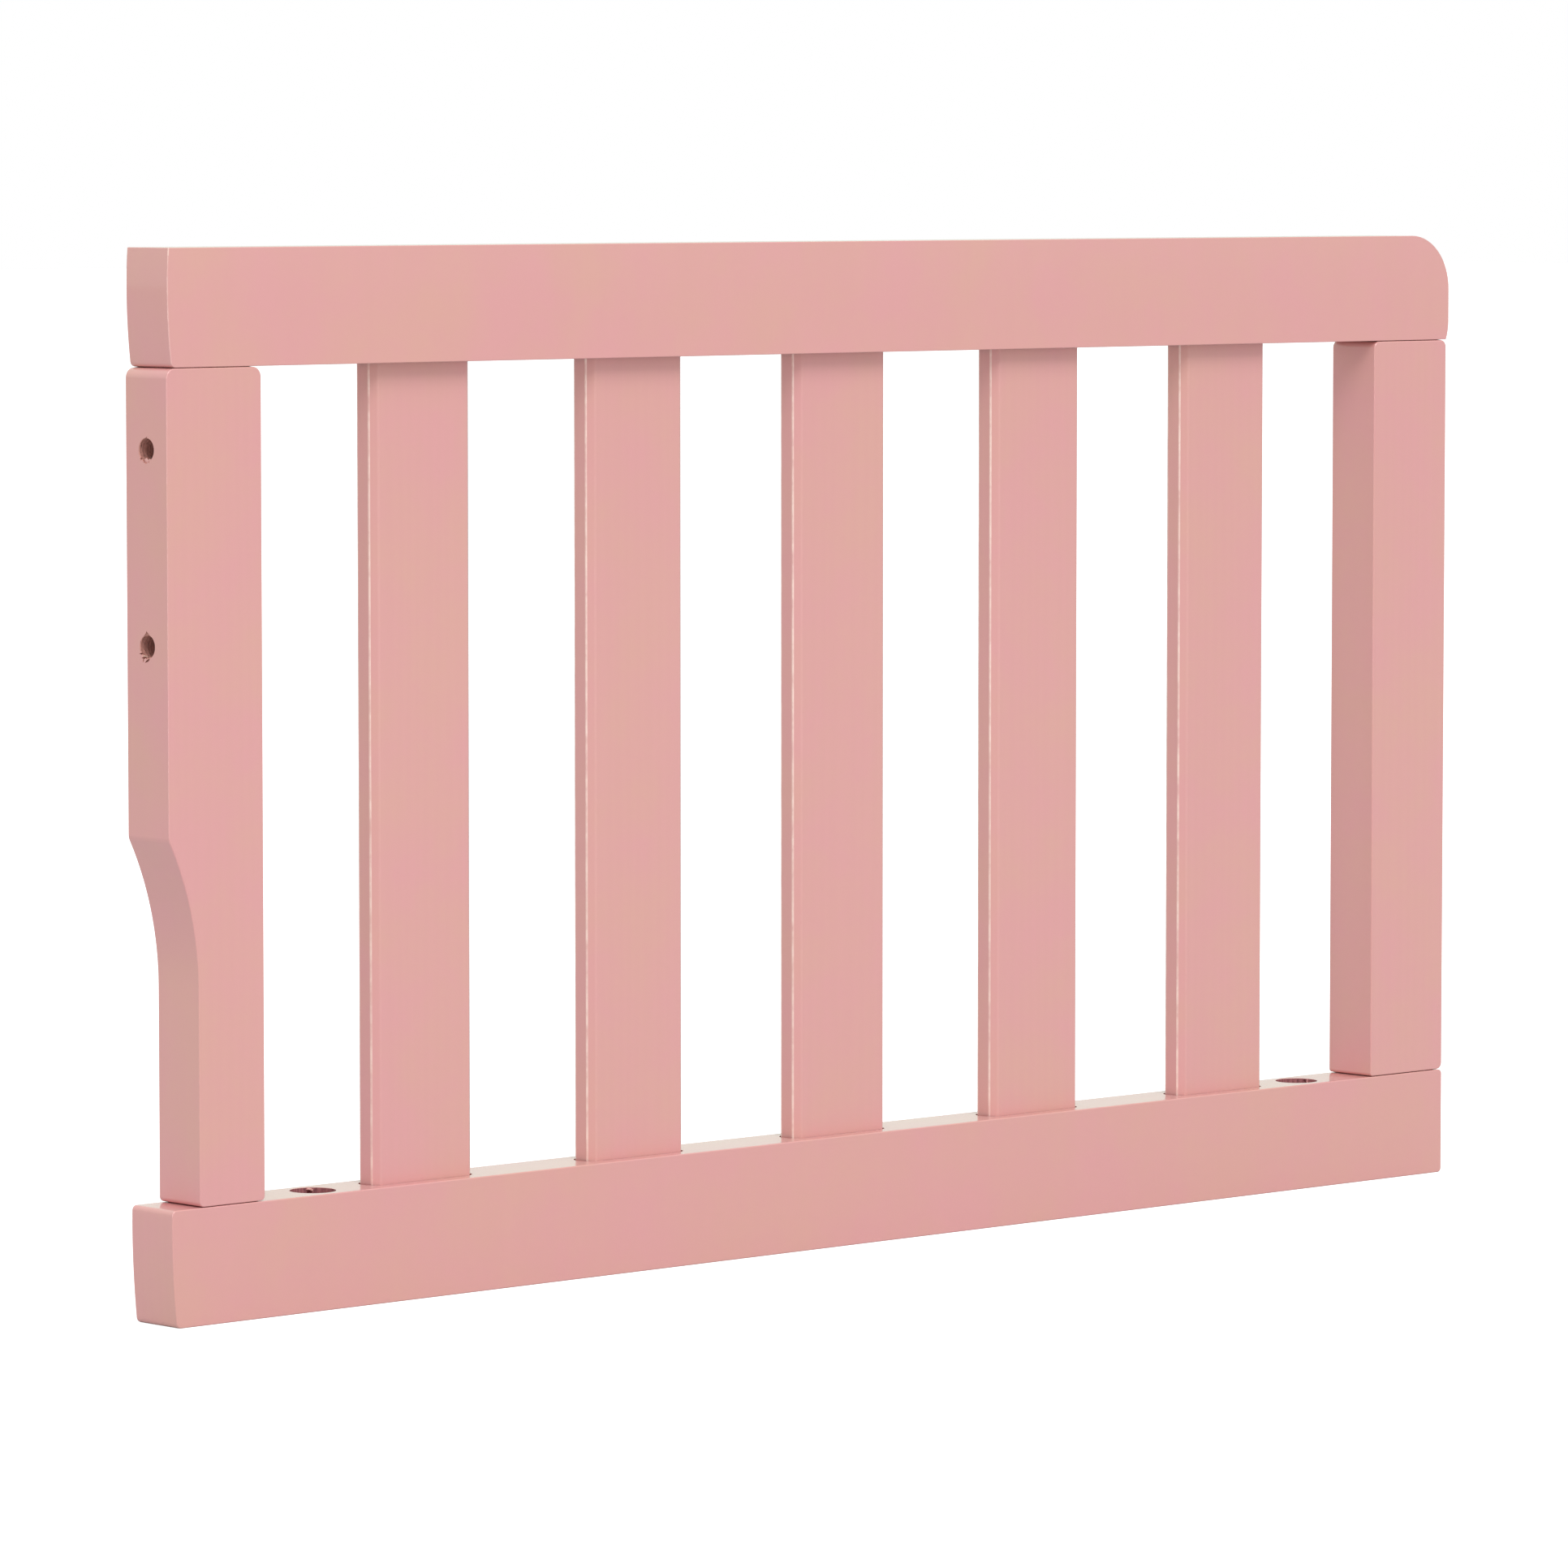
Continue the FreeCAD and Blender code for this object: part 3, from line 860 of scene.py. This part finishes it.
def buildSlat(node):
    low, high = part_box(node)
    bm = bmesh.new()
    bmesh.ops.create_cube(bm, size=1)
    bmesh.ops.scale(bm, verts=bm.verts, vec=high - low)
    bmesh.ops.translate(bm, verts=bm.verts, vec=(low + high) / 2)

    def longEdges():
        return [e for e in bm.edges if abs(e.verts[0].co.z - e.verts[1].co.z) > 50 * mm]

    bmesh.ops.bevel(bm, geom=longEdges(), offset=slatSizes["chamfer"], offset_type="OFFSET",
                    segments=1, profile=0.5, affect="EDGES", clamp_overlap=False, material=-1)
    markFaces(bm, [], 0)
    middle = (low.x + high.x) / 2
    reach = (high.x - low.x) / 2 - slatSizes["chamfer"] / 2
    for onSide, width, highlightLevel in ((True, slatSizes["sideEdge"], slatSizes["sidePaleness"]),
                                    (False, slatSizes["faceEdge"], slatSizes["facePaleness"])):
        picked = [e for e in longEdges() if (abs(e.verts[0].co.x - middle) > reach) == onSide
                  and e.calc_face_angle(0) > 0.6]
        made = bmesh.ops.bevel(bm, geom=picked, offset=width, offset_type="OFFSET", segments=3,
                               profile=0.5, affect="EDGES", clamp_overlap=False, material=-1)
        markFaces(bm, made["faces"], highlightLevel)
    piece = toObject(bm, node.replace("slat_", "slat"), [uprightPaint])
    finishPiece(piece, "painted_wood", node)


buildTopRail()
buildBottomRail()
buildLeftPost()
buildRightPost()
for name in slatNames:
    buildSlat(name)
for name in dowelNames:
    buildDowel(name)
print("pieces built")


# Floor, light and camera
studio = {
    "floorSize": 40.0,
    "floorTones": (0.61, 0.63),
    "worldDirect": 1.0,       # what the camera and reflections see
    "worldDiffuse": 0.80,     # what lights the piece
    "glossTint": (0.84, 0.95, 0.86, 1),    # the gloss picks up a duller backdrop
    "floorGlow": 0.75,        # keeps the floor pale to its far edge
    "keyPower": 272.0,
    "keySize": 3.5,
    "keyDistance": 7.0,
    "keyElevation": 50.0,
    "keyTurn": 25.0,
    "stripDistance": 1.9,
    "stripAzimuth": 187.0,
    "stripWidth": 0.8,
    "stripHeight": 1.1,
    "stripPower": 8.0,
}


def buildFloor():
    bm = bmesh.new()
    bmesh.ops.create_grid(bm, x_segments=1, y_segments=1, size=studio["floorSize"] / 2)
    material, tree, shader = newMaterial("paleFloor")
    place = addNode(tree, "ShaderNodeTexCoord", -900, 0)
    cloud = addNode(tree, "ShaderNodeTexNoise", -600, 0, {"Scale": 3.0, "Detail": 2.0})
    tone = addNode(tree, "ShaderNodeValToRGB", -300, 0)
    setRamp(tone, list(zip((0.3, 0.7), studio["floorTones"])))
    tree.links.new(place.outputs["Object"], cloud.inputs["Vector"])
    tree.links.new(cloud.outputs["Fac"], tone.inputs["Fac"])
    tree.links.new(tone.outputs["Color"], shader.inputs["Base Color"])
    shader.inputs["Roughness"].default_value = 0.9
    shader.inputs["Specular IOR Level"].default_value = 0.1
    path = addNode(tree, "ShaderNodeLightPath", -300, -300)
    glow = addNode(tree, "ShaderNodeMapRange", 100, -300, {"To Max": studio["floorGlow"]})
    tree.links.new(path.outputs["Is Camera Ray"], glow.inputs["Value"])
    tree.links.new(glow.outputs["Result"], shader.inputs["Emission Strength"])
    shader.inputs["Emission Color"].default_value = (1, 1, 1, 1)
    floor = toObject(bm, "floor", [material])


def buildWorld():
    world = bpy.data.worlds.new("studio")
    bpy.context.scene.world = world
    world.use_nodes = True
    tree = world.node_tree
    tree.nodes.clear()
    output = addNode(tree, "ShaderNodeOutputWorld", 500, 0)
    blend = addNode(tree, "ShaderNodeMixShader", 250, 0)
    seen = addNode(tree, "ShaderNodeBackground", 0, 100, {"Strength": studio["worldDirect"]})
    lit = addNode(tree, "ShaderNodeBackground", 0, -100, {"Strength": studio["worldDiffuse"]})
    lit.inputs["Color"].default_value = (1, 1, 1, 1)
    tint = addNode(tree, "ShaderNodeMix", -200, 100, data_type="RGBA")
    tint.inputs["A"].default_value = (1, 1, 1, 1)
    tint.inputs["B"].default_value = studio["glossTint"]
    path = addNode(tree, "ShaderNodeLightPath", 0, 400)
    tree.links.new(path.outputs["Is Glossy Ray"], tint.inputs["Factor"])
    tree.links.new(tint.outputs["Result"], seen.inputs["Color"])
    tree.links.new(path.outputs["Is Diffuse Ray"], blend.inputs["Fac"])
    tree.links.new(seen.outputs["Background"], blend.inputs[1])
    tree.links.new(lit.outputs["Background"], blend.inputs[2])
    tree.links.new(blend.outputs["Shader"], output.inputs["Surface"])


def addSoftbox(name, place, target, width, height, power, glossOnly=False):
    light = bpy.data.lights.new(name, "AREA")
    light.shape = "RECTANGLE"
    light.size, light.size_y = width, height
    light.energy = power
    box = bpy.data.objects.new(name, light)
    box.location = place
    box.rotation_euler = (Vector(target) - Vector(place)).to_track_quat("-Z", "Y").to_euler()
    box.visible_camera = False
    box.visible_diffuse = not glossOnly
    bpy.context.scene.collection.objects.link(box)


def fromSide(distance, azimuth, elevation):
    a, e = math.radians(azimuth), math.radians(elevation)
    return Vector((math.cos(a) * math.cos(e), math.sin(a) * math.cos(e), math.sin(e))) * distance


def buildLight():
    middle = Vector((0, 0, topHigh.z / 2))
    key = middle + fromSide(studio["keyDistance"], 270 - studio["keyTurn"], studio["keyElevation"])
    addSoftbox("key", key, middle, studio["keySize"], studio["keySize"], studio["keyPower"])
    # a strip that only shows as a thin light along the rounded edges
    place = fromSide(studio["stripDistance"], studio["stripAzimuth"], 0)
    place.z = studio["stripHeight"] / 2
    addSoftbox("sideStrip", place, (0, 0, place.z), studio["stripWidth"], studio["stripHeight"],
               studio["stripPower"], True)


cameraSizes = {
    "lens": 186.66,
    "sensorWidth": 36,
    "nearest": 0.05,
    "farthest": 100,
    "place": (-1.9477, -2.0738, 0.3811),
    "tilt": 4.4059,       # down from level
    "turn": -42.8569,
}


def buildCamera():
    size = cameraSizes
    camera = bpy.data.cameras.new("camera")
    camera.lens = size["lens"]
    camera.sensor_width = size["sensorWidth"]
    camera.clip_start, camera.clip_end = size["nearest"], size["farthest"]
    stand = bpy.data.objects.new("camera", camera)
    stand.location = size["place"]
    stand.rotation_euler = (math.radians(90 - size["tilt"]), 0, math.radians(size["turn"]))
    bpy.context.scene.collection.objects.link(stand)
    bpy.context.scene.camera = stand


buildFloor()
buildWorld()
buildLight()
buildCamera()
bpy.context.scene.view_settings.view_transform = "Standard"
print("studio ready")
